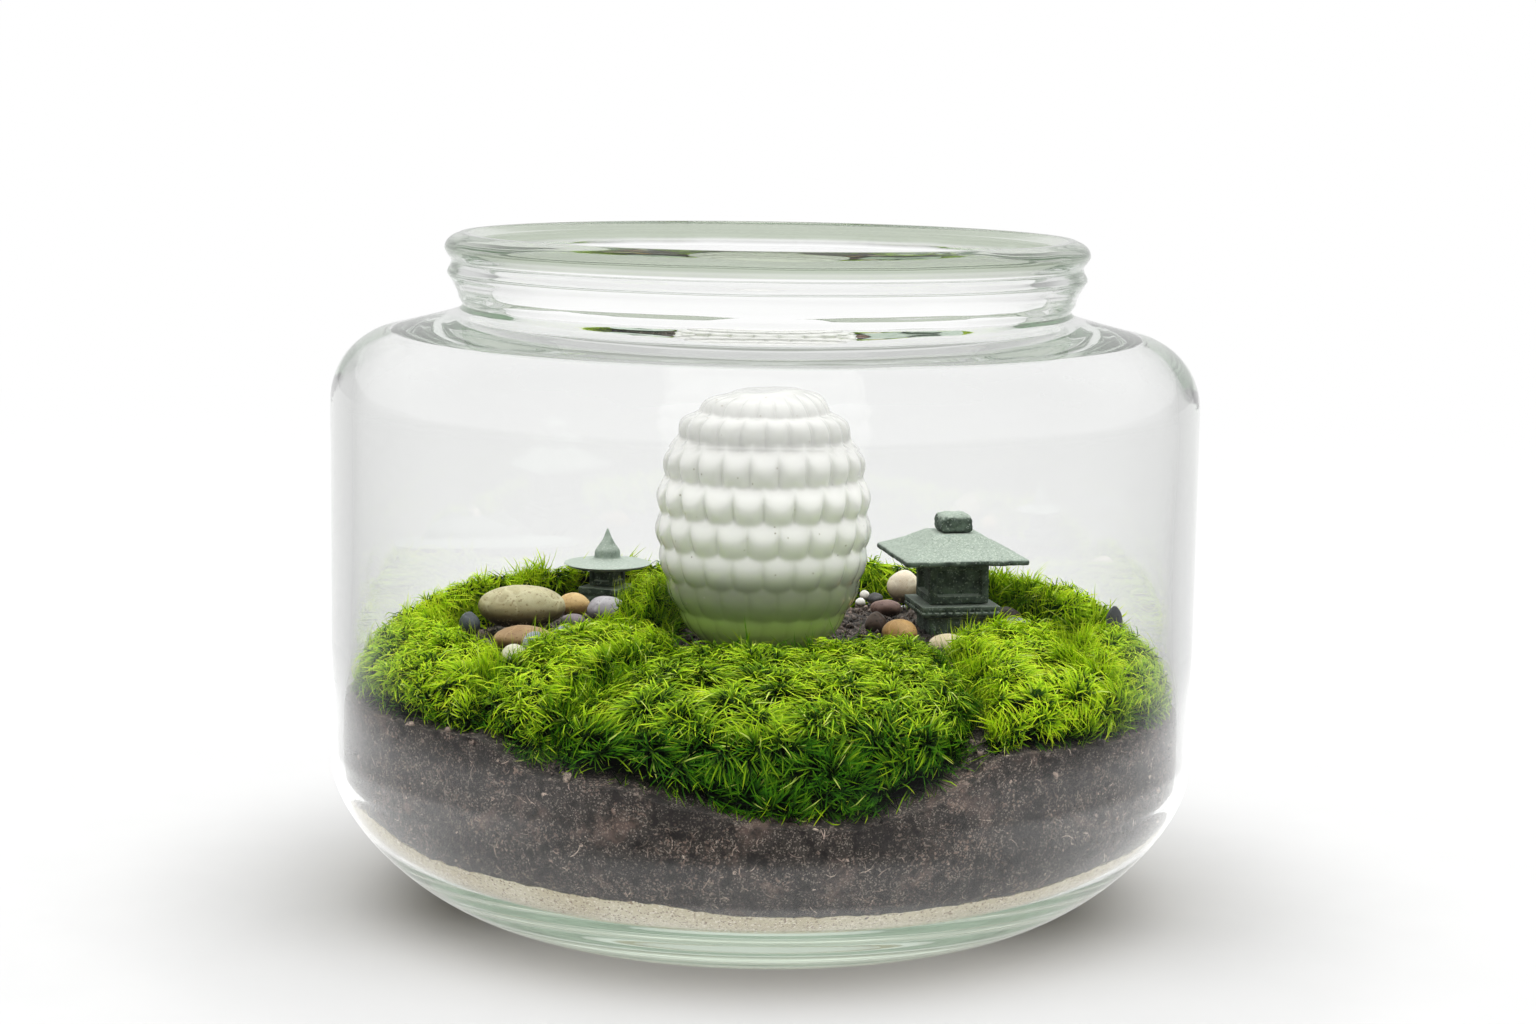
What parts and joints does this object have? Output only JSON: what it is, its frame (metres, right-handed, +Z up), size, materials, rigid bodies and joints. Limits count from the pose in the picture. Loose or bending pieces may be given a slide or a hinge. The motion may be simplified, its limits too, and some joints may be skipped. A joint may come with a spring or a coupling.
{
  "type": "moss terrarium",
  "caption": "Wide-mouth clear glass jar planted with moss over soil and sand, with a white ceramic ornament, small stone lanterns and pebbles.",
  "frame": {"origin": "centre of the jar's base, on the surface that it stands on", "axes": "+Z up along the jar's axis, -Y towards the front of the planting, +X to the right seen from the front"},
  "size_m": [0.2, 0.2, 0.155],
  "materials": {
    "jar_glass": "clear, faintly green, polished",
    "sand": "fine dry cream sand",
    "soil": "dark moist soil with pale crumbs",
    "moss": "soft leafy cushions, bright at the tips",
    "white_glaze": "white, glossy",
    "lantern_stone": "green-grey, speckled, matt",
    "stone_pale": "smooth, beige to cream",
    "stone_ochre": "smooth, tan to orange",
    "stone_grey": "smooth, grey to lilac",
    "stone_dark": "smooth, dark brown to charcoal",
    "stone_white": "smooth, white"
  },
  "bodies": {
    "root": {"glass_jar": "jar_glass", "sand_layer": "sand", "soil": "soil", "moss_front": "moss", "moss_front_left": "moss", "moss_left": "moss", "moss_rear_left": "moss", "moss_beside_ornament": "moss", "moss_rear": "moss", "moss_rear_right": "moss", "moss_right": "moss", "moss_front_right": "moss", "ceramic_ornament": "white_glaze", "lantern_foot": "lantern_stone", "lantern_platform": "lantern_stone", "lantern_light_box": "lantern_stone", "lantern_roof": "lantern_stone", "lantern_finial": "lantern_stone", "small_lantern_base": "lantern_stone", "small_lantern_light_box": "lantern_stone", "small_lantern_roof": "lantern_stone", "stone_beige": "stone_pale", "stone_small_white": "stone_pale", "stone_cream": "stone_pale", "stone_pink_white": "stone_pale", "stone_tan": "stone_ochre", "stone_honey": "stone_ochre", "stone_orange": "stone_ochre", "stone_small_grey": "stone_grey", "stone_lilac": "stone_grey", "stone_blue_grey": "stone_grey", "stone_grey": "stone_grey", "stone_purple": "stone_grey", "stone_charcoal": "stone_dark", "stone_small_dark": "stone_dark", "stone_umber": "stone_dark", "stone_dark_brown": "stone_dark", "stone_slate": "stone_dark", "stone_red_brown": "stone_dark", "stone_white_left": "stone_white", "stone_white_right": "stone_white"}
  },
  "joints": []
}
